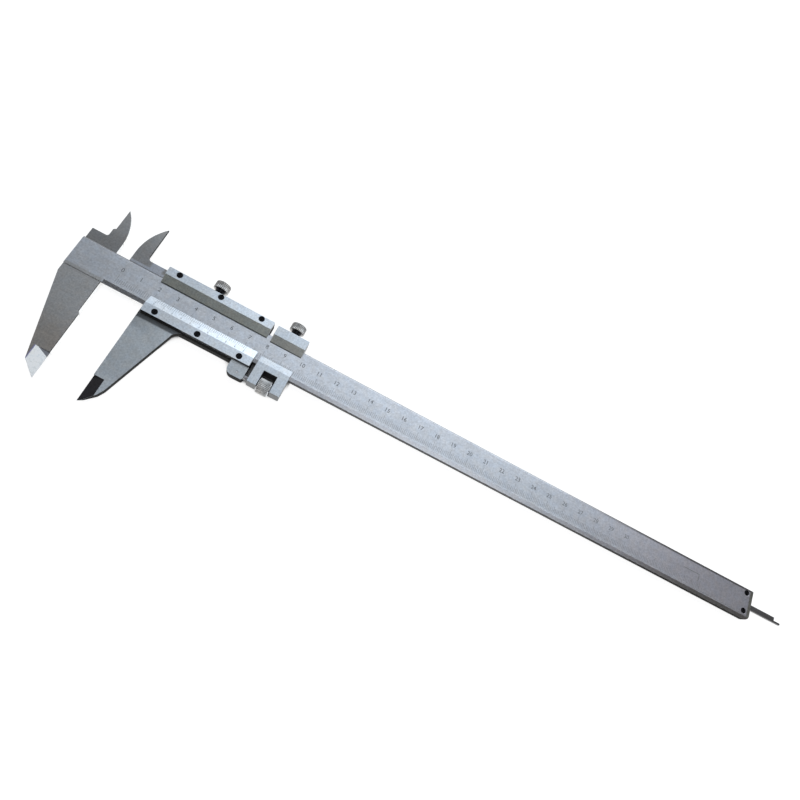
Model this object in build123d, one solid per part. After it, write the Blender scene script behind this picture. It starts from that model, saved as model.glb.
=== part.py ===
from build123d import *
import os

# Vernier caliper, 0 to 300 mm, with a fine-adjustment carriage.
# +X runs along the beam in the measuring direction, +Y towards the inside jaws, +Z out of the scale face.
# Origin: on the beam's back face, on its centre line, in the plane of the fixed outer measuring face.
# Millimetres. The slider stands open by OPENING.

OPENING = 22.1  # distance between the measuring faces in this position

# Beam
BEAM_WIDTH = 17.3
BEAM_THICKNESS = 4.0
BEAM_END = 389.8
HEAD_LEFT = -20.3
HALF = BEAM_WIDTH / 2
RAIL_WIDTH = 1.8  # sloping rail along the lower edge of the scale face
RAIL_DROP = 0.9
TOP_CHAMFER_WIDTH = 0.8
TOP_CHAMFER_DROP = 0.5
ROD_GROOVE_WIDTH = 3.5
ROD_GROOVE_DEPTH = 2.0
ROD_GROOVE_START = 20.0
END_CORNER_RADIUS = 3.0
END_CHAMFER_WIDTH = 2.2
END_CHAMFER_DROP = 0.3

# Jaws
JAW_BACK = 0.1
JAW_FRONT = 3.5
JAW_TIP_Y = -65.2
JAW_OUTER_X = -7.3  # where the sloping outer edge of the fixed jaw meets its tip edge
JAW_OUTER_Y = -58.5
KNIFE_Y = -51.0  # start of the thinned knife tips
KNIFE_LAND = 0.5  # thickness left on the knife edge
KNIFE_MIDDLE = 2.0
FACE_RELIEF = 0.9
BLADE_EDGE = -10.8  # measuring edge of the fixed inside jaw
BLADE_WIDTH = 7.2
BLADE_TIP_Y = 33.8
BLADE_CURVE_Y = 14.5
BLADE_SPLIT_BACK = 1.95  # the fixed blade lies behind this height, the moving one in front of the next
BLADE_SPLIT_FRONT = 2.1

# Slider
SLIDER_LEFT = OPENING + 0.9
SLIDER_RIGHT = OPENING + 60.1
SLIDER_LOW = -13.6
SLIDER_TOP = 15.0
PLATE_FRONT = 6.2
PLATE_BACK = 4.08
BACK = -1.7  # back of the slider, the carriage and the end stop, on which the caliper rests
GAP = 0.06  # sliding clearance around the beam
GIB_POCKET = 1.1
UPPER_PLATE = (5.75, 10.45, SLIDER_TOP)  # bevel foot, bevel crest and outer edge
LOWER_PLATE = (-3.05, -7.85, -12.6)
PLATE_SCREW_X = (OPENING + 7.3, OPENING + 30.3, OPENING + 53.3)
UPPER_SCREW_Y = 13.2
LOWER_SCREW_Y = -10.4

# Screws
HEAD_RADIUS = 1.55
HEAD_DEPTH = 1.2
SHANK_RADIUS = 0.9
FIT = 0.03  # radial clearance of a screw or pin in its own hole
SLOT = 0.5
LOCK_Z = 2.5
LOCK_RADIUS = 4.1
LOCK_LENGTH = 4.2
LOCK_STAND = 2.7  # neck between the frame and the knurled head
LOCK_SHANK = 1.5
LOCK_X = OPENING + 27.5
CARRIAGE_LOCK_X = OPENING + 71.7
GIB_SCREW_X = (OPENING + 15.5, OPENING + 39.5)
GIB_SCREW_RADIUS = 1.0

# Carriage and fine adjustment
CARRIAGE_LEFT = OPENING + 62.5
CARRIAGE_RIGHT = OPENING + 80.4
CARRIAGE_TOP = 14.5
CARRIAGE_LOW = -19.95
CARRIAGE_UPPER = (4.8, 9.15)
CARRIAGE_LOWER = (-3.85, -7.7)
WINDOW = (OPENING + 67.6, OPENING + 75.0)
WINDOW_TOP = -10.95
NUT_RADIUS = 4.2
NUT_GAP = 0.25
STUD_RADIUS = 1.4
STUD_RUNNING = 0.05
STUD_Y = -17.7
STUD_Z = 2.5
TAB_LEFT = OPENING + 50.6
TAB_LOW = -20.4
TAB_FRONT = 4.3
STUD_PIN_X = SLIDER_RIGHT - 4.0
STUD_PIN_RADIUS = 0.6

# Depth rod and end stop
ROD_HALF = 1.5
ROD_BACK = 0.2
ROD_FRONT = 1.8
ROD_START = OPENING + 24.0
ROD_TIP = BEAM_END + OPENING
ROD_STEP = 4.2
ROD_SEAT_END = OPENING + 52.0
ROD_PIN_X = (OPENING + 28.0, OPENING + 48.0)
ROD_PIN_RADIUS = 0.7
STOP_LEFT = BEAM_END - 7.1
STOP_Y = (-6.5, 8.2)
END_SCREW_X = BEAM_END - 4.5
END_SCREW_Y = (-4.3, 6.1)


def box(x, y, z):
    """Block between two limits on each axis."""
    centre = ((x[0] + x[1]) / 2, (y[0] + y[1]) / 2, (z[0] + z[1]) / 2)
    return Pos(*centre) * Box(x[1] - x[0], y[1] - y[0], z[1] - z[0])


def along_x(points, x):
    """Prism along X from a (y, z) outline."""
    wire = Polyline(*[(x[0], y, z) for y, z in points], close=True)
    return extrude(make_face(wire), amount=x[1] - x[0], dir=(1, 0, 0))


def along_y(points, y):
    """Prism along Y from an (x, z) outline."""
    wire = Polyline(*[(px, y[0], pz) for px, pz in points], close=True)
    return extrude(make_face(wire), amount=y[1] - y[0], dir=(0, 1, 0))


def along_z(edges, z):
    """Prism along Z from a closed set of edges drawn at height 0."""
    return extrude(Pos(0, 0, z[0]) * make_face(edges), amount=z[1] - z[0], dir=(0, 0, 1))


def plate(points, z):
    """Prism along Z from an (x, y) outline of straight edges."""
    return along_z(Polyline(*points, close=True), z)


def rod(radius, start, length, direction):
    """Round bar from a start point along a direction."""
    return extrude(Plane(start, z_dir=direction) * Circle(radius), amount=length)


def rounded_edges(solid, near, radius):
    """Round the edges along Z that stand closest to the given (x, y) points."""
    edges = solid.edges().filter_by(Axis.Z)
    chosen = [edges.sort_by_distance((x, y, solid.center().Z))[0] for x, y in near]
    return fillet(chosen, radius)


def inside_blade(edge, side, z):
    """Curved inside jaw with its straight measuring edge at x = edge and its back on the given side."""
    rise = BLADE_TIP_Y - BLADE_CURVE_Y
    radius = (BLADE_WIDTH**2 + rise**2) / (2 * BLADE_WIDTH)
    half_way = 0.5 * rise
    middle_x = BLADE_WIDTH - radius + (radius**2 - half_way**2) ** 0.5
    tip = (edge, BLADE_TIP_Y)
    middle = (edge + side * middle_x, BLADE_CURVE_Y + half_way)
    shoulder = (edge + side * BLADE_WIDTH, BLADE_CURVE_Y)
    root = (edge + side * BLADE_WIDTH, HALF)
    outline = [
        ThreePointArc(tip, middle, shoulder),
        Line(shoulder, root),
        Line(root, (edge, HALF)),
        Line((edge, HALF), tip),
    ]
    return along_z(outline, z)


def knife_tip_cuts(edge, side, width):
    """Two wedges that thin an outer jaw's tip to a knife edge at x = edge."""
    y = (JAW_TIP_Y - 1, KNIFE_Y)
    cuts = []
    for face, land in ((JAW_FRONT, KNIFE_LAND / 2), (JAW_BACK, -KNIFE_LAND / 2)):
        points = [
            (edge + side * width, face),
            (edge + side * width, face + 4 * land),
            (edge - side, face + 4 * land),
            (edge - side, KNIFE_MIDDLE + land),
            (edge, KNIFE_MIDDLE + land),
        ]
        cuts.append(along_y(points, y))
    return cuts


def slotted_screw(x, y, top, tip, head_radius=HEAD_RADIUS, shank_radius=SHANK_RADIUS):
    """Cheese-head screw along Z with its head flush at the top."""
    screw = rod(head_radius, (x, y, top - HEAD_DEPTH), HEAD_DEPTH, (0, 0, 1))
    screw += rod(shank_radius, (x, y, tip), top - HEAD_DEPTH - tip, (0, 0, 1))
    slot = box((x - SLOT / 2, x + SLOT / 2), (y - 2, y + 2), (top - HEAD_DEPTH / 2, top + 1))
    return screw - slot


def screw_hole(x, y, top, tip):
    """Counterbored hole for a slotted screw."""
    hole = rod(HEAD_RADIUS + FIT, (x, y, top - HEAD_DEPTH - FIT), HEAD_DEPTH + 1, (0, 0, 1))
    return hole + rod(SHANK_RADIUS + FIT, (x, y, tip - FIT), top - tip, (0, 0, 1))


def bevelled_bar(x, y, z, foot, crest):
    """Bar above the beam with a scale bevel that falls from its crest to a thin edge at its foot."""
    inner = max(y) if foot > crest else min(y)
    outer = min(y) if foot > crest else max(y)
    points = [(outer, z[0]), (outer, z[1]), (crest, z[1]), (inner, z[0] + 0.15), (inner, z[0])]
    return along_x(points, x)


def beam_bar():
    """Scale beam with its lower rail, top chamfer, rod groove and rounded, bevelled end."""
    section = [
        (-HALF, 0),
        (HALF, 0),
        (HALF, BEAM_THICKNESS - TOP_CHAMFER_DROP),
        (HALF - TOP_CHAMFER_WIDTH, BEAM_THICKNESS),
        (-HALF + RAIL_WIDTH, BEAM_THICKNESS),
        (-HALF, BEAM_THICKNESS - RAIL_DROP),
    ]
    head_section = section[:4] + [(-HALF, BEAM_THICKNESS)]
    bar = along_x(section, (0, BEAM_END)) + along_x(head_section, (HEAD_LEFT, 0))
    end_cap = box((BEAM_END - 6, BEAM_END), (-HALF, HALF), (0, BEAM_THICKNESS))
    round_end = rounded_edges(end_cap, [(BEAM_END, -HALF)], END_CORNER_RADIUS)
    bar -= end_cap - round_end
    bevel = [
        (BEAM_END - END_CHAMFER_WIDTH, BEAM_THICKNESS),
        (BEAM_END, BEAM_THICKNESS - END_CHAMFER_DROP),
        (BEAM_END + 1, BEAM_THICKNESS - END_CHAMFER_DROP),
        (BEAM_END + 1, BEAM_THICKNESS + 1),
        (BEAM_END - END_CHAMFER_WIDTH, BEAM_THICKNESS + 1),
    ]
    bar -= along_y(bevel, (-HALF - 1, HALF + 1))
    groove = (-ROD_GROOVE_WIDTH / 2, ROD_GROOVE_WIDTH / 2)
    return bar - box((ROD_GROOVE_START, BEAM_END + 1), groove, (-1, ROD_GROOVE_DEPTH))


def fixed_outer_jaw():
    """Long outer jaw of the fixed head, with a relieved root and a knife tip."""
    relief_end = JAW_TIP_Y + 36.8
    outline = [
        (HEAD_LEFT, 0),
        (HEAD_LEFT, -13.1),
        (JAW_OUTER_X, JAW_OUTER_Y),
        (0, JAW_TIP_Y),
        (0, relief_end),
        (-FACE_RELIEF, relief_end + 1.6),
        (-FACE_RELIEF, 0),
    ]
    jaw = plate(outline, (JAW_BACK, JAW_FRONT))
    for cut in knife_tip_cuts(0, -1, 7.0):
        jaw -= cut
    return jaw


def fixed_inside_jaw():
    """Rear half of the scissor pair of inside jaws, with the head's top edge."""
    height = (0.2, BLADE_SPLIT_BACK)
    head = box((HEAD_LEFT, BLADE_EDGE + BLADE_WIDTH), (HALF - 1, 15.55), height)
    blade = inside_blade(BLADE_EDGE, 1, height)
    heel = plate([(-12.0, 15.0), (-12.0, 20.2), (-11.2, 20.9), (-10.0, 20.9), (-10.0, 15.0)], height)
    jaw = head + heel + blade
    return rounded_edges(jaw, [(-12.0, 15.55)], 1.2)


def make_main_beam():
    beam = beam_bar() + fixed_outer_jaw() + fixed_inside_jaw()
    for y in END_SCREW_Y:
        beam -= screw_hole(END_SCREW_X, y, BEAM_THICKNESS, -0.5)
    return beam


def make_end_stop():
    stop = box((STOP_LEFT, BEAM_END - 0.2), STOP_Y, (BACK, 0))
    stop = rounded_edges(stop, [(BEAM_END, STOP_Y[0])], 1.5)
    for y in END_SCREW_Y:
        stop -= rod(SHANK_RADIUS + FIT, (END_SCREW_X, y, BACK - 1), 4, (0, 0, 1))
    return stop


def moving_outer_jaw():
    """Long outer jaw of the slider, thinned to a knife tip, with a hollow where it meets the frame."""
    back_x = OPENING + 19.3
    root_y = SLIDER_LOW + 2
    outline = [
        (OPENING, root_y),
        (OPENING, JAW_TIP_Y),
        (OPENING + 2.2, -63.7),
        (OPENING + 6.4, -59.0),
        (OPENING + 8.1, -55.8),
        (back_x, -17.4),
        (back_x + 0.75, root_y),
    ]
    jaw = plate(outline, (JAW_BACK, JAW_FRONT - 0.1))
    for cut in knife_tip_cuts(OPENING, 1, 5.9):
        jaw -= cut
    return jaw


def jaw_hollow():
    """Concave web between the moving jaw's back edge and the frame's lower edge."""
    corner = (OPENING + 19.0, SLIDER_LOW + 0.5)
    low = (OPENING + 18.7, SLIDER_LOW - 4.6)
    far = (OPENING + 24.2, SLIDER_LOW + 0.5)
    middle = (OPENING + 20.6, SLIDER_LOW - 1.3)
    edges = [Line(corner, low), ThreePointArc(low, middle, far), Line(far, corner)]
    return along_z(edges, (JAW_BACK, JAW_FRONT - 0.1))


def moving_inside_jaw():
    """Front half of the scissor pair of inside jaws, on an arm over the beam's top edge."""
    height = (BLADE_SPLIT_FRONT, JAW_FRONT)
    edge = BLADE_EDGE + OPENING
    blade = inside_blade(edge, -1, height)
    arm = box((edge - BLADE_WIDTH, SLIDER_LEFT + 1), (HALF, 13.5), height)
    jaw = blade + arm
    jaw = rounded_edges(jaw, [(edge, 13.5)], 2.0)
    return jaw - box((-20, SLIDER_LEFT + 2), (HALF - 1, HALF + GAP), (0, 5))


def make_slider_frame():
    span = (SLIDER_LEFT, SLIDER_RIGHT)
    section = [
        (SLIDER_LOW, BACK + 0.4),
        (SLIDER_LOW + 0.4, BACK),
        (SLIDER_TOP - 0.4, BACK),
        (SLIDER_TOP, BACK + 0.4),
        (SLIDER_TOP, PLATE_BACK),
        (LOWER_PLATE[2], PLATE_BACK),
        (SLIDER_LOW, PLATE_BACK - 1.0),
    ]
    frame = along_x(section, span)
    frame += moving_outer_jaw() + jaw_hollow() + moving_inside_jaw()
    frame += make_tab()
    frame -= box((SLIDER_LEFT - 5, SLIDER_RIGHT + 1), (-HALF - GAP, HALF + GAP), (-GAP, 9))
    frame -= box((span[0] + 2, span[1] - 2), (0, HALF + GIB_POCKET), (-GAP, 9))
    frame += box((ROD_START, ROD_SEAT_END), (-ROD_HALF + 0.1, ROD_HALF - 0.1), (-1, ROD_BACK))
    for x in PLATE_SCREW_X:
        frame -= screw_hole(x, UPPER_SCREW_Y, PLATE_FRONT, 2.2)
        frame -= screw_hole(x, LOWER_SCREW_Y, PLATE_FRONT, 1.2)
    frame -= rod(LOCK_SHANK + FIT, (LOCK_X, 5, LOCK_Z), 15, (0, 1, 0))
    for x in GIB_SCREW_X:
        frame -= rod(GIB_SCREW_RADIUS + FIT, (x, 5, BEAM_THICKNESS / 2), 15, (0, 1, 0))
    for x in ROD_PIN_X:
        frame -= rod(ROD_PIN_RADIUS + FIT, (x, 0, BACK - 1), 3, (0, 0, 1))
    frame -= rod(STUD_RADIUS + FIT, (TAB_LEFT + 1.6, STUD_Y, STUD_Z), 20, (1, 0, 0))
    frame -= rod(STUD_PIN_RADIUS + FIT, (STUD_PIN_X, STUD_Y, BACK - 1), 9, (0, 0, 1))
    return frame


def make_tab():
    """Ear under the frame that carries the threaded stud."""
    tab = box((TAB_LEFT, SLIDER_RIGHT + 0.1), (TAB_LOW, SLIDER_LOW + 1), (BACK + 0.9, TAB_FRONT))
    tab = rounded_edges(tab, [(TAB_LEFT, TAB_LOW)], 3.4)
    return rounded_edges(tab, [(SLIDER_RIGHT + 0.1, TAB_LOW)], 1.2)


def make_upper_plate():
    foot, crest, outer = UPPER_PLATE
    bar = bevelled_bar((SLIDER_LEFT, SLIDER_RIGHT), (foot, outer), (PLATE_BACK, PLATE_FRONT), foot, crest)
    for x in PLATE_SCREW_X:
        bar -= screw_hole(x, UPPER_SCREW_Y, PLATE_FRONT, 2.2)
    return bar


def make_vernier_plate():
    foot, crest, outer = LOWER_PLATE
    bar = bevelled_bar((SLIDER_LEFT, SLIDER_RIGHT), (foot, outer), (PLATE_BACK, PLATE_FRONT), foot, crest)
    for x in PLATE_SCREW_X:
        bar -= screw_hole(x, LOWER_SCREW_Y, PLATE_FRONT, 1.2)
    return bar


def make_gib(x, lock_x):
    """Bowed leaf between the frame's upper wall and the beam's top edge, pressed by the lock screw."""
    thickness = 0.35
    low = HALF + GAP
    high = HALF + GIB_POCKET - 0.06
    inner = ThreePointArc((x[0], high - thickness), (lock_x, low), (x[1], high - thickness))
    outer = ThreePointArc((x[0], high), (lock_x, low + thickness), (x[1], high))
    ends = [Line((x[0], high - thickness), (x[0], high)), Line((x[1], high - thickness), (x[1], high))]
    return along_z([inner, outer] + ends, (0.3, 3.3))


def make_lock_screw(x, frame_top):
    """Knurled lock screw along Y that presses the gib spring on the beam."""
    tip = HALF + GAP + 0.35 + 0.05
    head_start = frame_top + LOCK_STAND
    screw = rod(LOCK_SHANK, (x, tip, LOCK_Z), head_start - tip, (0, 1, 0))
    screw += rod(LOCK_SHANK + 0.9, (x, frame_top + 0.1, LOCK_Z), LOCK_STAND, (0, 1, 0))
    head = rod(LOCK_RADIUS, (x, head_start, LOCK_Z), LOCK_LENGTH, (0, 1, 0))
    rims = head.edges().filter_by(GeomType.CIRCLE)
    return screw + chamfer(rims, 0.4)


def make_gib_screws():
    """Slotted set screws in the frame's upper wall that bear on the gib spring's ends."""
    screws = []
    for x in GIB_SCREW_X:
        start = HALF + GIB_POCKET + 0.3
        screw = rod(GIB_SCREW_RADIUS, (x, start, BEAM_THICKNESS / 2), SLIDER_TOP - 0.4 - start, (0, 1, 0))
        slot = box((x - 2, x + 2), (SLIDER_TOP - 1.0, SLIDER_TOP), (BEAM_THICKNESS / 2 - 0.2, BEAM_THICKNESS / 2 + 0.2))
        screws.append(screw - slot)
    return Compound(children=screws)


def make_depth_rod():
    step_x = ROD_TIP - ROD_STEP
    bar = box((ROD_START, step_x), (-ROD_HALF, ROD_HALF), (ROD_BACK, ROD_FRONT))
    bar += box((step_x - 1, ROD_TIP), (-ROD_HALF, -0.35), (ROD_BACK, ROD_FRONT))
    for x in ROD_PIN_X:
        bar -= rod(ROD_PIN_RADIUS + FIT, (x, 0, ROD_BACK - 1), 2, (0, 0, 1))
    return bar


def make_depth_rod_pins():
    return Compound(children=[rod(ROD_PIN_RADIUS, (x, 0, BACK + 0.1), 2.6, (0, 0, 1)) for x in ROD_PIN_X])


def make_stud():
    """Threaded stud of the fine adjustment, cross-pinned in the slider's ear."""
    start = TAB_LEFT + 1.8
    stud = rod(STUD_RADIUS, (start, STUD_Y, STUD_Z), CARRIAGE_RIGHT - 1.2 - start, (1, 0, 0))
    ends = stud.edges().filter_by(GeomType.CIRCLE)
    stud = chamfer(ends, 0.3)
    return stud - rod(STUD_PIN_RADIUS + FIT, (STUD_PIN_X, STUD_Y, -3), 10, (0, 0, 1))


def make_stud_pin():
    return rod(STUD_PIN_RADIUS, (STUD_PIN_X, STUD_Y, BACK + 1.0), TAB_FRONT - BACK - 1.1, (0, 0, 1))


def make_carriage():
    span = (CARRIAGE_LEFT, CARRIAGE_RIGHT)
    section = [
        (CARRIAGE_LOW, BACK + 0.6),
        (CARRIAGE_LOW + 0.6, BACK),
        (CARRIAGE_TOP - 0.4, BACK),
        (CARRIAGE_TOP, BACK + 0.4),
        (CARRIAGE_TOP, PLATE_FRONT),
        (CARRIAGE_UPPER[1], PLATE_FRONT),
        (CARRIAGE_UPPER[0], PLATE_BACK),
        (HALF + GAP, PLATE_BACK),
        (HALF + GAP, -GAP),
        (-HALF - GAP, -GAP),
        (-HALF - GAP, PLATE_BACK),
        (CARRIAGE_LOWER[0], PLATE_BACK),
        (CARRIAGE_LOWER[1], PLATE_FRONT),
        (CARRIAGE_LOW, PLATE_FRONT),
    ]
    block = along_x(section, span)
    block -= box((span[0] + 1.5, span[1] - 1.5), (HALF - 1, HALF + GIB_POCKET), (-GAP, PLATE_BACK))
    block -= box(WINDOW, (CARRIAGE_LOW - 1, WINDOW_TOP), (BACK - 1, PLATE_FRONT + 1))
    block -= rod(STUD_RADIUS + STUD_RUNNING, (span[0] - 1, STUD_Y, STUD_Z), 20, (1, 0, 0))
    return block - rod(LOCK_SHANK + FIT, (CARRIAGE_LOCK_X, 5, LOCK_Z), 12, (0, 1, 0))


def make_nut():
    """Knurled adjusting nut that turns on the stud inside the carriage's window."""
    start = WINDOW[0] + NUT_GAP
    length = WINDOW[1] - WINDOW[0] - 2 * NUT_GAP
    nut = rod(NUT_RADIUS, (start, STUD_Y, STUD_Z), length, (1, 0, 0))
    nut = chamfer(nut.edges().filter_by(GeomType.CIRCLE), 0.4)
    return nut - rod(STUD_RADIUS + STUD_RUNNING, (start - 1, STUD_Y, STUD_Z), length + 2, (1, 0, 0))


def make_screws(points, top, tip):
    return Compound(children=[slotted_screw(x, y, top, tip) for x, y in points])


PARTS = {
    "main_beam": make_main_beam(),
    "end_stop": make_end_stop(),
    "end_stop_screws": make_screws([(END_SCREW_X, y) for y in END_SCREW_Y], BEAM_THICKNESS, BACK + 0.3),
    "slider_frame": make_slider_frame(),
    "vernier_plate": make_vernier_plate(),
    "vernier_plate_screws": make_screws([(x, LOWER_SCREW_Y) for x in PLATE_SCREW_X], PLATE_FRONT, 1.2),
    "upper_guide_plate": make_upper_plate(),
    "upper_guide_plate_screws": make_screws([(x, UPPER_SCREW_Y) for x in PLATE_SCREW_X], PLATE_FRONT, 2.2),
    "slider_gib_spring": make_gib((SLIDER_LEFT + 3, SLIDER_RIGHT - 3), LOCK_X),
    "gib_set_screws": make_gib_screws(),
    "slider_lock_screw": make_lock_screw(LOCK_X, SLIDER_TOP),
    "depth_rod": make_depth_rod(),
    "depth_rod_pins": make_depth_rod_pins(),
    "fine_adjustment_stud": make_stud(),
    "stud_pin": make_stud_pin(),
    "carriage_frame": make_carriage(),
    "carriage_gib_spring": make_gib((CARRIAGE_LEFT + 2, CARRIAGE_RIGHT - 2), CARRIAGE_LOCK_X),
    "carriage_lock_screw": make_lock_screw(CARRIAGE_LOCK_X, CARRIAGE_TOP),
    "adjusting_nut": make_nut(),
}

os.makedirs("parts", exist_ok=True)
for name, solid in PARTS.items():
    export_step(solid, f"parts/{name}.step")
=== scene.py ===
import itertools
import math

import bmesh
import bpy
from mathutils import Matrix, Vector


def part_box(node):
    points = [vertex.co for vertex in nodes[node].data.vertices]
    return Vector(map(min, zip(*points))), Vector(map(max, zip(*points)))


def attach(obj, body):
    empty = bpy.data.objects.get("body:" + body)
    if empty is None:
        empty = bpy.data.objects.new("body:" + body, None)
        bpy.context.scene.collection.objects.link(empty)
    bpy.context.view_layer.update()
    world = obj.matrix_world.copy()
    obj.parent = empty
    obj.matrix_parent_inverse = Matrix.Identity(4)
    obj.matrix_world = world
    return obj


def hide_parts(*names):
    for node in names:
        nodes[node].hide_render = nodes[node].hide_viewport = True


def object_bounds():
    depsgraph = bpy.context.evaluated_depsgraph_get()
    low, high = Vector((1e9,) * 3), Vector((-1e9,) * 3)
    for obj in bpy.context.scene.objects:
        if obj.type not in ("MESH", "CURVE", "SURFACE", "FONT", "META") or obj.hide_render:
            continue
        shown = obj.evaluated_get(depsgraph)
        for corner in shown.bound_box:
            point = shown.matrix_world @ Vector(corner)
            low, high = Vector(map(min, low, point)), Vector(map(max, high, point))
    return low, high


# Looks of a 0 to 300 mm vernier caliper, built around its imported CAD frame.
# Same frame as the CAD: +X along the beam, +Y towards the inside jaws, +Z out of the scale face.
# Lengths below are in millimetres and are turned into metres by MM.

MM = 0.001
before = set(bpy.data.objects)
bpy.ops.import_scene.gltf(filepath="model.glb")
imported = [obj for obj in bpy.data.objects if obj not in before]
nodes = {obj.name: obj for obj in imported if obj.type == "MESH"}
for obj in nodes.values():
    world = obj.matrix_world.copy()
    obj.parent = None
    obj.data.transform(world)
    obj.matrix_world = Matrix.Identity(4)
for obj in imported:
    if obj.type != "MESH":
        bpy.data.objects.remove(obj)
cad_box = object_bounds()
FLOOR = cad_box[0].z


def limits(node):
    """Lowest and highest corner of a CAD node in millimetres."""
    low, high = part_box(node)
    return low / MM, high / MM


BEAM_END = limits("main_beam")[1].x
BEAM_FACE = 4.0
SCALE_ZERO = 4.8  # x of the scale's zero line
OPENING = 22.1  # between the outer jaws at rest
VERNIER_ZERO = SCALE_ZERO + OPENING


# ---------------------------------------------------------------- node helper


class Net:
    """A material under construction, with short names for the nodes it uses."""

    def __init__(self, name):
        self.material = bpy.data.materials.new(name)
        self.material.use_nodes = True
        self.tree = self.material.node_tree
        self.tree.nodes.clear()
        self.bsdf = self.add("ShaderNodeBsdfPrincipled")
        output = self.add("ShaderNodeOutputMaterial")
        self.tree.links.new(self.bsdf.outputs["BSDF"], output.inputs["Surface"])
        coords = self.add("ShaderNodeTexCoord")
        self.object = coords.outputs["Object"]
        self.normal = coords.outputs["Normal"]

    def add(self, kind, **settings):
        node = self.tree.nodes.new(kind)
        for key, value in settings.items():
            setattr(node, key, value)
        return node

    def put(self, socket, value):
        """Links a socket, or sets its plain value."""
        if isinstance(value, bpy.types.NodeSocket):
            self.tree.links.new(value, socket)
        elif socket.type == "RGBA":
            socket.default_value = (*value[:3], 1.0)
        else:
            socket.default_value = value

    def set(self, name, value):
        self.put(self.bsdf.inputs[name], value)

    def math(self, operation, *values):
        node = self.add("ShaderNodeMath", operation=operation)
        for socket, value in zip(node.inputs, values):
            self.put(socket, value)
        return node.outputs[0]

    def axes(self, vector):
        split = self.add("ShaderNodeSeparateXYZ")
        self.put(split.inputs[0], vector)
        return split.outputs[0], split.outputs[1], split.outputs[2]

    def stretched(self, x, y, z, turn=0.0):
        """Object coordinates in cells per metre along each axis, turned about Z first."""
        node = self.add("ShaderNodeMapping")
        self.put(node.inputs["Vector"], self.object)
        if turn:
            spin = self.add("ShaderNodeVectorRotate", rotation_type="Z_AXIS")
            self.put(spin.inputs["Vector"], self.object)
            spin.inputs["Angle"].default_value = math.radians(turn)
            self.put(node.inputs["Vector"], spin.outputs[0])
        node.inputs["Scale"].default_value = (x, y, z)
        return node.outputs[0]

    def noise(self, vector, detail, rough):
        node = self.add("ShaderNodeTexNoise")
        self.put(node.inputs["Vector"], vector)
        node.inputs["Scale"].default_value = 1.0
        node.inputs["Detail"].default_value = detail
        node.inputs["Roughness"].default_value = rough
        return node.outputs["Fac"]

    def span(self, value, low, high, to_low=0.0, to_high=1.0, smooth=True):
        """Maps low..high onto to_low..to_high, held at both ends."""
        kind = "SMOOTHSTEP" if smooth else "LINEAR"
        node = self.add("ShaderNodeMapRange", interpolation_type=kind, clamp=True)
        for socket, number in zip(node.inputs, (value, low, high, to_low, to_high)):
            self.put(socket, number)
        return node.outputs[0]

    def over(self, value, low, high, to_low=0.0, to_high=1.0):
        """The same with low and high in millimetres: 0 below low and 1 above high."""
        return self.span(value, low * MM, high * MM, to_low, to_high)

    def under(self, value, low, high):
        """1 below low and 0 above high, in millimetres."""
        return self.over(value, low, high, 1.0, 0.0)

    def band(self, value, low, high, soft):
        """1 between low and high, falling to 0 over soft on each side, in millimetres."""
        rise = self.over(value, low - soft, low + soft)
        return self.both(rise, self.under(value, high - soft, high + soft))

    def both(self, *masks):
        """1 where every mask is 1."""
        result = masks[0]
        for mask in masks[1:]:
            result = self.math("MULTIPLY", result, mask)
        return result

    def mix(self, factor, first, second, blend="MIX"):
        node = self.add("ShaderNodeMix", data_type="RGBA", blend_type=blend)
        self.put(node.inputs[0], factor)
        self.put(node.inputs[6], first)
        self.put(node.inputs[7], second)
        return node.outputs[2]

    def shade(self, colour, factor):
        """Colour times a grey factor."""
        return self.mix(1.0, colour, self.grey(factor), "MULTIPLY")

    def grey(self, value):
        node = self.add("ShaderNodeCombineColor")
        for socket in node.inputs:
            self.put(socket, value)
        return node.outputs[0]

    def bump(self, height, strength, distance):
        node = self.add("ShaderNodeBump")
        node.inputs["Strength"].default_value = strength
        node.inputs["Distance"].default_value = distance
        self.put(node.inputs["Height"], height)
        self.set("Normal", node.outputs[0])


# ------------------------------------------------------------------ materials

LONG_CELLS = 60  # cells of the grinding marks per metre, along the strokes
FINE_CELLS = 2600  # and across them
GRAIN_CELLS = 1100
CAST_CELLS = 260
CLOUD_CELLS = 120
WARM_TINT = (1.0, 0.985, 0.96)
COOL_TINT = (0.965, 0.985, 1.0)
STEEL_RELIEF = 0.00004  # metres

# Lowest and highest roughness
SATIN = (0.29, 0.35)
GROUND_ROUGH = (0.29, 0.40)
KNURLED = (0.30, 0.42)
POLISHED = (0.14, 0.24)


def ground_lines(net, along, across, turn=0.0):
    """Fine grinding marks: long in one direction and narrow in the other, at two sizes."""
    fine = net.noise(net.stretched(along, across, across, turn), 3.0, 0.6)
    broad = net.noise(net.stretched(along * 0.6, across * 0.22, across * 0.22, turn), 2.0, 0.5)
    return net.math("ADD", net.math("MULTIPLY", fine, 0.6), net.math("MULTIPLY", broad, 0.4))


def around_one(net, value, depth):
    """Turns a noise value into a factor that swings by depth on both sides of 1."""
    return net.span(value, 0.3, 0.7, 1 - depth, 1 + depth, smooth=False)


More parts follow.
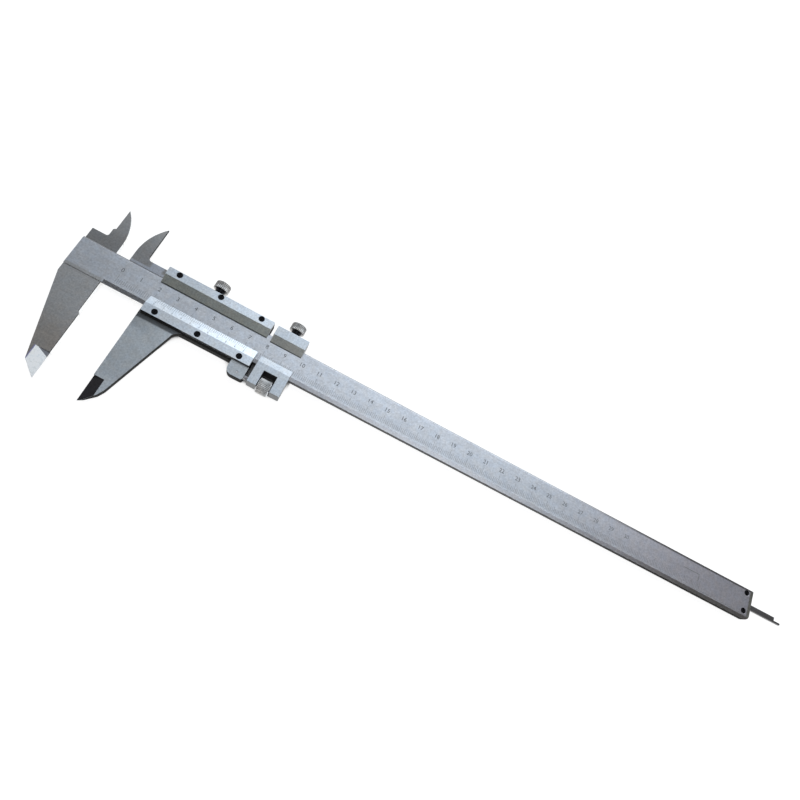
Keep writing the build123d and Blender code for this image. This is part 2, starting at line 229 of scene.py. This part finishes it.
def metal(net, colour, marks, rough, marks_depth=0.08, painted_dark=0.0):
    """Bare steel: grinding marks, grain and broad clouding in colour and roughness, and a fine relief.
    The last argument is 0 for bare metal and 1 where a side is painted dark as shade, which makes it a
    rough non-metal."""
    grain = net.noise(net.stretched(GRAIN_CELLS, GRAIN_CELLS, GRAIN_CELLS), 3.0, 0.6)
    cloud = net.noise(net.stretched(CLOUD_CELLS, CLOUD_CELLS, CLOUD_CELLS), 3.0, 0.5)
    cast = net.noise(net.stretched(CAST_CELLS, CAST_CELLS, CAST_CELLS), 2.0, 0.5)
    tint = net.mix(net.span(cast, 0.35, 0.65, smooth=False), WARM_TINT, COOL_TINT)
    colour = net.mix(1.0, colour, tint, "MULTIPLY")
    level = net.both(around_one(net, marks, marks_depth), around_one(net, grain, 0.15))
    level = net.both(level, net.span(cloud, 0.3, 0.7, 0.96, 1.04, smooth=False))
    net.set("Base Color", net.shade(colour, level))
    net.set("Metallic", net.math("SUBTRACT", 1.0, painted_dark))
    net.set("Specular IOR Level", 0.1)
    low, high = rough
    polish = net.span(net.math("ADD", marks, grain), 0.7, 1.3, low, high, smooth=False)
    net.set("Roughness", net.math("MULTIPLY_ADD", painted_dark, 0.4, polish))
    net.bump(net.math("ADD", marks, grain), 0.05, STEEL_RELIEF)
    return net.material


def beam_material():
    """Satin scale face, ground jaws darkened with painted shade, bright knife facet and sides painted dark
    grey as shade.
    """
    net = Net("beam_steel")
    x, y, z = net.axes(net.object)
    nx, ny, nz = net.axes(net.normal)
    flat = net.span(nz, 0.9, 0.95)
    steep = net.span(nz, 0.35, 0.75, 1.0, 0.0)
    on_head = net.under(x, -1.5, 0.5)
    below_head_face = net.under(y, -7.2, -6.9)

    # The scale face, the outer jaw below it and the inside jaw above it
    face = net.mix(net.over(x, 240, 350), (0.585, 0.605, 0.65), (0.60, 0.575, 0.62))
    # The outer jaw is darker than the face as painted shade, and browner towards its tip
    jaw_colour = net.mix(net.under(y, -46, -24), (0.49, 0.49, 0.495), (0.42, 0.39, 0.365))
    below = net.math("MAXIMUM", net.under(y, -8.9, -8.6), net.both(on_head, below_head_face))
    colour = net.mix(below, face, jaw_colour)
    colour = net.mix(net.over(y, 8.6, 8.9), colour, (0.285, 0.28, 0.28))
    colour = net.mix(net.over(y, 14, 30), colour, (0.37, 0.365, 0.365))

    # The upper edge's chamfer and the flat rim beside it, painted dark as shade towards the ends, the bevel
    # at the end and the rail below the scale
    chamfer = net.both(net.span(ny, 0.3, 0.5), net.over(y, 7.7, 7.8))
    # Painted shade on the chamfer: slight along the beam, stronger at the head and full at the far end
    shaded_ends = net.math("MAXIMUM", net.over(x, 235, 330), net.over(x, -10, 60, 0.35, 0.08))
    colour = net.mix(net.both(chamfer, shaded_ends), colour, (0.02, 0.017, 0.017))
    # Painted shade along the flat rim towards the far end
    shaded_far_rim = net.both(net.over(y, 7.0, 7.75), flat, net.over(x, 250, 340))
    colour = net.mix(shaded_far_rim, colour, (0.16, 0.15, 0.16))
    end_bevel = net.both(net.over(x, 387.5, 387.7), flat)
    colour = net.mix(end_bevel, colour, (0.46, 0.455, 0.41))
    rail = net.both(net.span(ny, -0.3, -0.4), net.under(y, -6.9, -6.7))
    colour = net.mix(net.both(rail, net.over(x, 290, 350)), colour, (0.36, 0.345, 0.34))

    # Sides painted dark as shade, darker at the head end and almost black at the far end, apart from the
    # small step between the head's face and the jaw
    jaw_step = net.both(on_head, net.over(z, 3.4, 3.5), below_head_face)
    side = net.both(steep, net.math("SUBTRACT", 1.0, jaw_step))
    side_colour = net.mix(net.over(x, 225, 345), (0.115, 0.115, 0.117), (0.008, 0.006, 0.005))
    side_colour = net.shade(side_colour, net.over(x, 24, 100, 0.15, 1.0))
    colour = net.mix(side, colour, side_colour)
    colour = net.mix(net.both(steep, jaw_step), colour, (0.97, 0.97, 0.97))

    # Lapped bright: the measuring face and the beam's lower side next to the head
    measuring = net.both(net.span(nx, 0.7, 0.95), net.under(x, 2, 4))
    near_head = net.both(net.span(ny, -0.95, -0.7, 1.0, 0.0), net.under(x, 20, 26))
    lapped = net.both(net.math("MAXIMUM", measuring, near_head), net.under(z, 2.6, 2.8))
    colour = net.mix(lapped, colour, (0.95, 0.95, 0.95))

    # The knife facet at the outer jaw's tip: bright below a slanting line and painted dark as shade above
    # it, with a bluish purple rim
    facet = net.both(net.span(nx, 0.08, 0.14), net.span(nz, 0.5, 0.8), net.under(y, -50, -49))
    # The slanting line that bounds the painted shade on the facet
    wedge_edge = net.math("ADD", net.math("MULTIPLY", x, -0.45), -53.6 * MM)
    shaded_wedge = net.over(net.math("SUBTRACT", y, wedge_edge), -0.15, 0.15)
    colour = net.mix(facet, colour, net.mix(shaded_wedge, (0.99, 1.0, 1.0), (0.24, 0.24, 0.26)))
    from_rim = net.math("ABSOLUTE", net.math("ADD", x, 7.2 * MM))
    rim = net.both(net.under(from_rim, 0.1, 0.5), net.under(y, -51.5, -50.5), flat)
    colour = net.mix(rim, colour, (0.40, 0.39, 0.62))

    # Sides painted dark as shade become a rough non-metal
    painted_dark = net.both(side, net.math("SUBTRACT", 1.0, lapped))
    return metal(net, colour, ground_lines(net, LONG_CELLS, FINE_CELLS), SATIN, painted_dark=painted_dark)


def frame_material():
    """Slider body: ground jaws and top edges with painted light and shade, sides painted dark as shade, and
    a lighter ear.
    """
    net = Net("ground_steel")
    x, y, _ = net.axes(net.object)
    nx, _, nz = net.axes(net.normal)
    jaw = (0.50, 0.53, 0.56)
    ear = (0.50, 0.53, 0.56)

    # The outer jaw, with painted light and shade: lighter to the right near its root and at its tip, and a
    # painted shadow right under the vernier plate
    across = net.span(x, 22 * MM, 42 * MM, 0.74, 1.2, smooth=False)
    along = net.over(y, -52, -46, 1.2, 1.05)
    jaw = net.shade(jaw, net.mix(net.over(y, -24, -18), net.grey(along), net.grey(across)))
    # Painted shadow of the vernier plate on the jaw
    root = net.both(net.over(y, -16.4, -14.9), net.under(x, 45, 46))
    jaw = net.shade(jaw, net.span(root, 0.0, 1.0, 1.0, 0.25))

    # The inside jaw, with a painted sheen band where its arm meets the beam and a painted sheen patch, and
    # the ear
    above = net.over(y, 8.0, 8.6)
    colour = net.mix(above, jaw, (0.29, 0.285, 0.285))
    # Painted sheen
    painted_shading_band = net.both(net.under(y, 9.8, 10.6), net.over(x, 2, 5))
    sheen_patch = net.both(net.over(x, 13.6, 15.2), net.under(x, 20, 21.5))
    colour = net.mix(net.both(above, net.math("MAXIMUM", painted_shading_band, sheen_patch)), colour, (0.42, 0.44, 0.49))
    colour = net.mix(net.over(y, 15, 30), colour, (0.36, 0.36, 0.36))
    is_ear = net.both(net.over(x, 71, 72), net.under(y, -13.8, -13.5))
    colour = net.mix(is_ear, colour, ear)

    # Sides painted near black as shade, darkest on the right face beside the gap, and the knife facet at
    # the outer jaw's tip painted near black as shade
    side = net.span(nz, 0.75, 0.9, 1.0, 0.0)
    right_face = net.both(net.span(nx, 0.6, 0.8), net.over(x, 78, 80))
    colour = net.mix(side, colour, net.mix(right_face, (0.022, 0.022, 0.021), (0.012, 0.012, 0.016)))
    facet = net.both(net.span(nx, -0.14, -0.08, 1.0, 0.0), net.span(nz, 0.5, 0.8), net.under(y, -50, -49))
    colour = net.mix(facet, colour, (0.035, 0.033, 0.036))

    painted_dark = net.math("MAXIMUM", side, facet)
    return metal(net, colour, ground_lines(net, LONG_CELLS, FINE_CELLS, 38.0), SATIN, painted_dark=painted_dark)


def plate_material(name, colour, bevel, foot, top=1.0):
    """Satin chrome of the guide plates and the carriage, with a painted shadow line along the foot of the
    upper bevel and sides painted dark as shade.
    foot is the lowest y of the upper bevel, and top a factor of painted shade on the colour of flat tops."""
    net = Net(name)
    x, y, _ = net.axes(net.object)
    _, ny, nz = net.axes(net.normal)
    upper_bevel = net.both(net.span(ny, -0.2, -0.3), net.span(nz, 0.7, 0.8))
    # Painted shadow line along the foot of the upper bevel
    painted_shading_band = net.over(net.math("SUBTRACT", y, foot * MM), 0.2, 0.7, 0.12, 1.0)
    colour = net.shade(colour, net.over(x, 38, 62, 1.0, 1.1))
    # Flat tops darkened by the top factor as painted shade
    colour = net.shade(colour, net.span(nz, 0.93, 0.97, 1.0, top))
    shaded = net.mix(upper_bevel, colour, net.shade(bevel, painted_shading_band))
    # Sides painted dark as shade
    side = net.span(nz, 0.35, 0.7, 1.0, 0.0)
    shaded = net.mix(side, shaded, (0.12, 0.125, 0.13))
    return metal(net, shaded, ground_lines(net, FINE_CELLS, LONG_CELLS), SATIN, marks_depth=0.05)


def plain_metal(name, colour, rough=GROUND_ROUGH, along=FINE_CELLS):
    net = Net(name)
    return metal(net, colour, ground_lines(net, along, FINE_CELLS), rough)


def black_material():
    """Black oxide of the screws."""
    net = Net("black_screws")
    speck = net.noise(net.stretched(9000, 9000, 9000), 3.0, 0.6)
    net.set("Base Color", net.mix(speck, (0.002, 0.002, 0.003), (0.006, 0.006, 0.009)))
    net.set("Metallic", 0.0)
    net.set("Specular IOR Level", 0.15)
    net.set("Roughness", net.span(speck, 0.3, 0.7, 0.45, 0.65))
    net.bump(speck, 0.2, 0.00003)
    return net.material


def ink_material(name, thin, thick):
    """Filling of the engraved marks, paler towards the beam's far end."""
    net = Net(name)
    speck = net.noise(net.stretched(7000, 7000, 7000), 2.0, 0.5)
    x, _, _ = net.axes(net.object)
    fresh = net.mix(speck, thick, thin)
    net.set("Base Color", net.mix(net.over(x, 190, 345), fresh, (0.27, 0.275, 0.28)))
    net.set("Metallic", 0.0)
    net.set("Roughness", 0.6)
    net.bump(speck, 0.1, 0.00001)
    return net.material


def floor_material():
    """Pale floor with a soft glow, which fades in the corners round the slider, so that it is grounded."""
    net = Net("pale_floor")
    grain = net.noise(net.stretched(40, 40, 40), 3.0, 0.5)
    net.set("Base Color", net.mix(grain, (0.42, 0.42, 0.42), (0.44, 0.44, 0.44)))
    net.set("Roughness", 0.9)
    open_sky = net.add("ShaderNodeAmbientOcclusion", samples=16)
    open_sky.inputs["Distance"].default_value = 10 * MM
    x, y, _ = net.axes(net.object)
    under_slider = net.both(net.band(x, 23.5, 103.5, 0.5), net.band(y, -24, 8, 0.5))
    glow = net.span(open_sky.outputs["AO"], 0.22, 0.46)
    glow = net.math("MAXIMUM", glow, net.math("SUBTRACT", 1.0, under_slider))
    net.set("Emission Color", (1.0, 1.0, 1.0))
    net.set("Emission Strength", net.math("MULTIPLY", glow, 0.88))
    return net.material


BEAM = beam_material()
FRAME = frame_material()
PLATE = plate_material("satin_plate", (0.66, 0.705, 0.76), (0.76, 0.80, 0.76), 5.75)
# The carriage: a darker copy of the plates' satin chrome, with darker bevel and tops, as painted shade
CARRIAGE = plate_material("satin_carriage", (0.62, 0.665, 0.72), (0.56, 0.575, 0.55), 4.8, 0.86)
GROUND = plain_metal("ground_stop", (0.50, 0.51, 0.52), along=LONG_CELLS)
BLACK = black_material()
SPRING = plain_metal("spring_steel", (0.42, 0.42, 0.44), along=80)
BRIGHT = plain_metal("bright_steel", (0.62, 0.62, 0.64))
ROD = plain_metal("rod_steel", (0.20, 0.19, 0.19), along=80)
KNURL = plain_metal("knurled_steel", (0.58, 0.57, 0.56), KNURLED)
NUT = plain_metal("knurled_nut", (0.50, 0.495, 0.49), KNURLED)
# The knobs' neck, painted near black as shade
SHADED_NECK = plain_metal("painted_shade_neck", (0.035, 0.035, 0.04))
POLISH = plain_metal("polished_rim", (0.74, 0.75, 0.77), POLISHED)
INK = ink_material("engraving_fill", (0.17, 0.18, 0.19), (0.08, 0.09, 0.10))
FAINT_INK = ink_material("fine_engraving_fill", (0.26, 0.27, 0.28), (0.16, 0.17, 0.18))

NODE_MATERIALS = {
    "main_beam": BEAM,
    "end_stop": GROUND,
    "end_stop_screws": BLACK,
    "slider_frame": FRAME,
    "vernier_plate": PLATE,
    "vernier_plate_screws": BLACK,
    "upper_guide_plate": PLATE,
    "upper_guide_plate_screws": BLACK,
    "slider_gib_spring": SPRING,
    "gib_set_screws": BRIGHT,
    "depth_rod": ROD,
    "depth_rod_pins": BRIGHT,
    "stud_pin": BRIGHT,
    "carriage_frame": CARRIAGE,
    "carriage_gib_spring": SPRING,
}
EDGE_BREAK = {
    "main_beam": 0.07,
    "end_stop": 0.10,
    "slider_frame": 0.07,
    "vernier_plate": 0.08,
    "upper_guide_plate": 0.08,
    "carriage_frame": 0.10,
}
SMALL_EDGE_BREAK = 0.05
WELD_DISTANCE = 1e-6
FLAT_ANGLE = math.radians(0.5)
EDGE_ANGLE = math.radians(30)


def mark_face_borders(mesh):
    """Marks as sharp the borders of the CAD faces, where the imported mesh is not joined."""
    used = [0] * len(mesh.edges)
    for loop in mesh.loops:
        used[loop.edge_index] += 1
    borders = mesh.attributes.get("sharp_edge") or mesh.attributes.new("sharp_edge", "BOOLEAN", "EDGE")
    borders.data.foreach_set("value", [count == 1 for count in used])


def dress(node, material, width):
    """Gives a CAD node its material, and rounds its sharp edges by width millimetres."""
    obj = nodes[node]
    obj.data.materials.clear()
    obj.data.materials.append(material)
    obj.data.shade_smooth()
    mark_face_borders(obj.data)
    weld = obj.modifiers.new("weld", "WELD")
    weld.merge_threshold = WELD_DISTANCE
    flats = obj.modifiers.new("whole_flats", "DECIMATE")
    flats.decimate_type = "DISSOLVE"
    flats.angle_limit = FLAT_ANGLE
    bevel = obj.modifiers.new("edge_break", "BEVEL")
    bevel.limit_method = "ANGLE"
    bevel.angle_limit = EDGE_ANGLE
    bevel.use_clamp_overlap = False
    bevel.width = width * MM
    bevel.segments = 2
    even = obj.modifiers.new("even_normals", "WEIGHTED_NORMAL")
    even.weight = 100
    even.keep_sharp = True


for node_name, node_material in NODE_MATERIALS.items():
    dress(node_name, node_material, EDGE_BREAK.get(node_name, SMALL_EDGE_BREAK))


# --------------------------------------------------------------- mesh helpers


def finish_piece(bm, name, body, materials, replaces=()):
    """Turns a bmesh in millimetres into a named piece that rides on a body."""
    bmesh.ops.recalc_face_normals(bm, faces=bm.faces)
    bm.transform(Matrix.Scale(MM, 4))
    mesh = bpy.data.meshes.new(name)
    bm.to_mesh(mesh)
    bm.free()
    for material in materials:
        mesh.materials.append(material)
    obj = bpy.data.objects.new(name, mesh)
    bpy.context.scene.collection.objects.link(obj)
    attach(obj, body)
    if replaces:
        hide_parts(*replaces)


def add_box(bm, low, high, place=None):
    """Adds a block between two corners, optionally moved by a matrix."""
    corners = [Vector(corner) for corner in itertools.product(*zip(low, high))]
    if place is not None:
        corners = [place @ c for c in corners]
    v = [bm.verts.new(c) for c in corners]
    for face in ((0, 1, 3, 2), (4, 6, 7, 5), (0, 4, 5, 1), (2, 3, 7, 6), (0, 2, 6, 4), (1, 5, 7, 3)):
        bm.faces.new([v[i] for i in face])


def add_text(bm, text, size, place, thickness):
    """Adds raised figures, centred on the origin of a placing matrix."""
    curve = bpy.data.curves.new("figures", "FONT")
    curve.body = text
    curve.size = size
    curve.extrude = thickness / 2
    curve.align_x = "CENTER"
    curve.align_y = "CENTER"
    curve.resolution_u = 3
    holder = bpy.data.objects.new("figures", curve)
    bpy.context.scene.collection.objects.link(holder)
    mesh = bpy.data.meshes.new_from_object(holder.evaluated_get(bpy.context.evaluated_depsgraph_get()))
    mesh.transform(place @ Matrix.Translation((0, 0, thickness / 2)))
    bm.from_mesh(mesh)
    bpy.data.objects.remove(holder)
    bpy.data.curves.remove(curve)
    bpy.data.meshes.remove(mesh)


def revolve(bm, profile, axis_point, axis, segments, radius_at=None, material_of=None):
    """Closed solid of revolution from (along, radius) points. radius_at can change a radius by angle."""
    turn = Vector((0, 0, 1)).rotation_difference(Vector(axis)).to_matrix()
    origin = Vector(axis_point)
    rings = []
    for along, radius in profile:
        ring = []
        for i in range(segments):
            angle = 2 * math.pi * i / segments
            r = radius_at(along, radius, angle) if radius_at else radius
            point = Vector((r * math.cos(angle), r * math.sin(angle), along))
            ring.append(bm.verts.new(origin + turn @ point))
        rings.append(ring)
    for k in range(len(rings) - 1):
        for i in range(segments):
            j = (i + 1) % segments
            face = bm.faces.new((rings[k][i], rings[k][j], rings[k + 1][j], rings[k + 1][i]))
            face.smooth = True
            if material_of:
                face.material_index = material_of(profile[k][0], profile[k + 1][0])


# ------------------------------------------------------------ main scale marks

MARK = 0.02  # height of the filled engraving over the face
SUNK = 0.03  # how far it reaches under the face
FIGURE_SUNK = 0.01
LINE = 0.13
SCALE_FOOT = -5.6  # y where the lines start
LONG, MIDDLE, SHORT = 4.6, 3.5, 2.7
FIGURE_Y = 1.9
FIGURE_SIZE = 3.2
CORNER_X = SCALE_ZERO + 348.8  # corner mark at the scale's end
CORNER_LOW, CORNER_FOOT, CORNER_TOP = -1.6, 2.25, 2.6


def build_beam_scale():
    """Millimetre lines up to 350, and the corner mark."""
    bm = bmesh.new()
    top = BEAM_FACE + MARK
    bottom = BEAM_FACE - SUNK
    half = LINE / 2
    for k in range(351):
        length = LONG if k % 10 == 0 else MIDDLE if k % 5 == 0 else SHORT
        x = SCALE_ZERO + k
        add_box(bm, (x - half, SCALE_FOOT, bottom), (x + half, SCALE_FOOT + length, top))
    add_box(bm, (CORNER_X - 10.3, CORNER_FOOT, bottom), (CORNER_X, CORNER_TOP, top))
    add_box(bm, (CORNER_X - 0.35, CORNER_LOW, bottom), (CORNER_X, CORNER_FOOT, top))
    finish_piece(bm, "beam_scale_lines", "beam", [FAINT_INK])


def build_beam_figures():
    """Centimetre numbers 0 to 30."""
    bm = bmesh.new()
    for k in range(31):
        place = Matrix.Translation((SCALE_ZERO + 10 * k, FIGURE_Y, BEAM_FACE - FIGURE_SUNK))
        add_text(bm, str(k), FIGURE_SIZE, place, MARK + FIGURE_SUNK)
    finish_piece(bm, "beam_scale_figures", "beam", [INK])


def build_beam_guide_line():
    """Bright polished strip along the lower edge of the scale, a painted highlight."""
    bm = bmesh.new()
    add_box(bm, (SCALE_ZERO - 0.2, -6.33, BEAM_FACE - SUNK), (BEAM_END - 1.0, -6.08, BEAM_FACE + 0.015))
    finish_piece(bm, "beam_highlight_line", "beam", [POLISH])


build_beam_scale()
build_beam_figures()
build_beam_guide_line()


# -------------------------------------------------------------- vernier marks

VERNIER_STEP = 0.98
VERNIER_FIGURE_STEP = 4.9
FOOT_Y, FOOT_Z = -3.05, 4.23
CREST_Y, CREST_Z = -7.85, 6.2
SLOPE = math.atan2(CREST_Z - FOOT_Z, FOOT_Y - CREST_Y)


def on_bevel(x, up):
    """Placing matrix on the vernier bevel, up millimetres from its foot, with its Y towards the foot."""
    lean = Matrix.Rotation(-SLOPE, 4, "X")
    y = FOOT_Y - up * math.cos(SLOPE)
    z = FOOT_Z + up * math.sin(SLOPE)
    return Matrix.Translation((x, y, z)) @ lean


def build_vernier_marks():
    """50 divisions with a number at every tenth of a millimetre."""
    bm = bmesh.new()
    for k in range(51):
        length = 3.3 if k % 5 == 0 else 2.3
        place = on_bevel(VERNIER_ZERO + VERNIER_STEP * k, 0.05)
        add_box(bm, (-0.06, -length, -SUNK), (0.06, 0, MARK), place)
    for k in range(11):
        place = on_bevel(VERNIER_ZERO + VERNIER_FIGURE_STEP * k, 4.25)
        place = place @ Matrix.Translation((0, 0, -FIGURE_SUNK))
        add_text(bm, str(k % 10), 1.5, place, MARK + FIGURE_SUNK)
    finish_piece(bm, "vernier_scale_marks", "slider", [INK])


build_vernier_marks()


# ------------------------------------------------ knurled screws, nut and stud

HEAD_LENGTH = 4.2
NECK_LENGTH = 2.6
SHANK_RADIUS = 1.5
NECK_RADIUS = 2.4
THREAD_PITCH = 0.5
JOIN_DISTANCE = 1e-4


def knurl(teeth, low, high, depth):
    """Radius rule for straight knurling between two places along the axis."""

    def radius_at(along, radius, angle):
        if low <= along <= high:
            tooth = abs(((angle * teeth / (2 * math.pi)) % 1.0) * 2 - 1)
            return radius - depth * tooth
        return radius

    return radius_at


def build_lock_screw(name, node, body):
    """Lock screw with a shank, a neck painted near black as shade and a knurled head with a turned end."""
    low, high = limits(node)
    centre = (low + high) / 2
    radius = (high.x - low.x) / 2
    end = high.y - low.y
    head = end - HEAD_LENGTH
    neck = head - NECK_LENGTH
    profile = [
        (0.0, 0.0),
        (0.0, 1.3),
        (0.2, SHANK_RADIUS),
        (neck, SHANK_RADIUS),
        (neck, 2.2),
        (neck + 0.2, NECK_RADIUS),
        (head - 0.35, NECK_RADIUS),
        (head - 0.1, 2.65),
        (head, 2.9),
        (head, radius - 0.35),
        (head + 0.1, radius - 0.15),
        (head + 0.2, radius),
        (end - 0.45, radius),
        (end - 0.4, radius - 0.1),
        (end - 0.2, radius - 0.3),
        (end - 0.1, radius - 0.6),
        (end - 0.1, radius - 1.0),
        (end, radius - 1.3),
        (end, 0.0),
    ]

    def neck_or_head(first, second):
        return 0 if min(first, second) >= head else 1

    bm = bmesh.new()
    rule = knurl(28, head + 0.19, end - 0.44, 0.42)
    revolve(bm, profile, (centre.x, low.y, centre.z), (0, 1, 0), 168, rule, neck_or_head)
    bmesh.ops.remove_doubles(bm, verts=bm.verts, dist=JOIN_DISTANCE)
    finish_piece(bm, name, body, [KNURL, SHADED_NECK], [node])


def build_nut():
    """Adjusting nut: a knurled ring with polished rims."""
    low, high = limits("adjusting_nut")
    centre = (low + high) / 2
    radius = (high.z - low.z) / 2
    end = high.x - low.x
    bore = 1.45
    profile = [
        (0.0, bore + 0.15),
        (0.0, radius - 0.55),
        (0.1, radius - 0.42),
        (0.42, radius - 0.1),
        (0.5, radius),
        (end - 0.5, radius),
        (end - 0.42, radius - 0.1),
        (end - 0.1, radius - 0.42),
        (end, radius - 0.55),
        (end, bore + 0.15),
        (end - 0.15, bore),
        (0.15, bore),
        (0.0, bore + 0.15),
    ]

    def rim(first, second):
        return 1 if max(first, second) <= 0.5 or min(first, second) >= end - 0.5 else 0

    bm = bmesh.new()
    revolve(bm, profile, (low.x, centre.y, centre.z), (1, 0, 0), 192, knurl(32, 0.49, end - 0.49, 0.3), rim)
    bmesh.ops.remove_doubles(bm, verts=bm.verts, dist=JOIN_DISTANCE)
    finish_piece(bm, "adjusting_nut_knurled", "nut", [NUT, POLISH], ["adjusting_nut"])


def build_stud():
    """Threaded stud: one helical ridge along a core, capped at both ends."""
    low, high = limits("fine_adjustment_stud")
    centre = (low + high) / 2
    outer = (high.z - low.z) / 2
    inner = 1.15
    pitch = THREAD_PITCH
    steps = 20
    turns = int((high.x - low.x - pitch) / pitch)
    bm = bmesh.new()
    crest = []
    root = []
    for i in range(turns * steps + 1):
        angle = 2 * math.pi * i / steps
        x = low.x + pitch * i / steps
        across = math.cos(angle)
        up = math.sin(angle)
        crest.append(bm.verts.new((x, centre.y + outer * across, centre.z + outer * up)))
        root.append(bm.verts.new((x + pitch / 2, centre.y + inner * across, centre.z + inner * up)))
    for i in range(turns * steps):
        bm.faces.new((crest[i], crest[i + 1], root[i + 1], root[i]))
        if i + steps < len(crest) - 1:
            bm.faces.new((root[i], root[i + 1], crest[i + 1 + steps], crest[i + steps]))
    start = bm.verts.new((low.x, centre.y, centre.z))
    for i in range(steps):
        bm.faces.new((start, crest[i + 1], crest[i]))
    bm.faces.new((start, crest[0], root[0], crest[steps]))
    finish = bm.verts.new((high.x, centre.y, centre.z))
    tail = root[-steps - 1 :]
    for i in range(steps):
        bm.faces.new((finish, tail[i], tail[i + 1]))
    bm.faces.new((finish, root[-1], crest[-1], tail[0]))
    finish_piece(bm, "fine_adjustment_thread", "slider", [BRIGHT], ["fine_adjustment_stud"])


build_lock_screw("slider_lock_knob", "slider_lock_screw", "slider_lock")
build_lock_screw("carriage_lock_knob", "carriage_lock_screw", "carriage_lock")
build_nut()
build_stud()


# ------------------------------------------------------- floor, light, camera


FLOOR_HALF = 4000.0


def build_floor():
    bm = bmesh.new()
    corners = [(-1, -1), (1, -1), (1, 1), (-1, 1)]
    bm.faces.new([bm.verts.new((x * FLOOR_HALF, y * FLOOR_HALF, FLOOR / MM)) for x, y in corners])
    bm.transform(Matrix.Scale(MM, 4))
    mesh = bpy.data.meshes.new("floor")
    bm.to_mesh(mesh)
    bm.free()
    mesh.materials.append(floor_material())
    floor = bpy.data.objects.new("floor", mesh)
    bpy.context.scene.collection.objects.link(floor)


SOFT_LIGHTS = [
    # direction, full inside this angle, gone outside this angle, colour
    ((0.06, 0.62, 0.91), 0, 48, (0.525, 0.565, 0.605)),
    ((0.17, 0.92, 0.70), 12, 37, (1.38, 1.48, 1.58)),
    ((0.21, -0.80, 0.80), 10, 17, (1.95, 2.00, 2.08)),
    ((-0.07, -0.04, 1.00), 3, 17, (0.50, 0.52, 0.55)),
    ((0.97, -0.10, 0.20), 5, 26, (0.80, 0.80, 0.80)),
    ((-0.92, -0.25, 0.30), 5, 24, (0.80, 0.80, 0.80)),
]
DIM_LIGHT = (0.08, 0.08, 0.08)
HORIZON_LIGHT = (0.40, 0.40, 0.41)
HORIZON_TOP = 0.40  # height on the unit sphere where the light band round the horizon has faded out
HORIZON_FULL = 0.05  # and where it is at its full strength


def fading(tree, value, low, high):
    """0 at low and 1 at high, with a soft step between."""
    fade = tree.nodes.new("ShaderNodeMapRange")
    fade.interpolation_type = "SMOOTHSTEP"
    tree.links.new(value, fade.inputs[0])
    fade.inputs[1].default_value = low
    fade.inputs[2].default_value = high
    return fade.outputs[0]


def add_light(tree, total, colour, strength):
    """Adds one light of a colour, scaled by a strength, to the lights so far."""
    panel = tree.nodes.new("ShaderNodeBackground")
    panel.inputs["Color"].default_value = (*colour, 1)
    tree.links.new(strength, panel.inputs["Strength"])
    join = tree.nodes.new("ShaderNodeAddShader")
    tree.links.new(total, join.inputs[0])
    tree.links.new(panel.outputs[0], join.inputs[1])
    return join.outputs[0]


def build_world():
    """Soft studio light: large round panels, each fading at its rim, and a band round the horizon."""
    world = bpy.data.worlds.new("soft_studio")
    bpy.context.scene.world = world
    world.use_nodes = True
    tree = world.node_tree
    tree.nodes.clear()
    coords = tree.nodes.new("ShaderNodeTexCoord").outputs["Generated"]
    surround = tree.nodes.new("ShaderNodeBackground")
    surround.inputs["Color"].default_value = (*DIM_LIGHT, 1)
    total = surround.outputs[0]
    for direction, full, gone, colour in SOFT_LIGHTS:
        dot = tree.nodes.new("ShaderNodeVectorMath")
        dot.operation = "DOT_PRODUCT"
        tree.links.new(coords, dot.inputs[0])
        dot.inputs[1].default_value = Vector(direction).normalized()
        rim = math.cos(math.radians(gone))
        middle = math.cos(math.radians(full))
        total = add_light(tree, total, colour, fading(tree, dot.outputs["Value"], rim, middle))
    height = tree.nodes.new("ShaderNodeSeparateXYZ")
    tree.links.new(coords, height.inputs[0])
    band = fading(tree, height.outputs["Z"], HORIZON_TOP, HORIZON_FULL)
    total = add_light(tree, total, HORIZON_LIGHT, band)
    output = tree.nodes.new("ShaderNodeOutputWorld")
    tree.links.new(total, output.inputs["Surface"])


CAMERA_TARGET = Vector((158.49, 10.47, 4.0))
CAMERA_DISTANCE = 333.05
CAMERA_AZIMUTH = -16.415
CAMERA_ELEVATION = 66.956
CAMERA_ROLL = 43.22
CAMERA_LENS = 28.22


def build_camera():
    azimuth = math.radians(CAMERA_AZIMUTH)
    elevation = math.radians(CAMERA_ELEVATION)
    flat = math.cos(elevation)
    back = Vector((math.sin(azimuth) * flat, -math.cos(azimuth) * flat, math.sin(elevation)))
    level = back.to_track_quat("Z", "Y").to_matrix().to_4x4()
    data = bpy.data.cameras.new("camera")
    data.lens = CAMERA_LENS
    data.sensor_width = 36
    data.clip_start = 0.01
    data.clip_end = 50
    camera = bpy.data.objects.new("camera", data)
    bpy.context.scene.collection.objects.link(camera)
    place = Matrix.Translation((CAMERA_TARGET + back * CAMERA_DISTANCE) * MM)
    camera.matrix_world = place @ level @ Matrix.Rotation(math.radians(CAMERA_ROLL), 4, "Z")
    bpy.context.scene.camera = camera


build_floor()
build_world()
build_camera()
bpy.context.scene.view_settings.view_transform = "Standard"
bpy.context.scene.view_settings.look = "None"
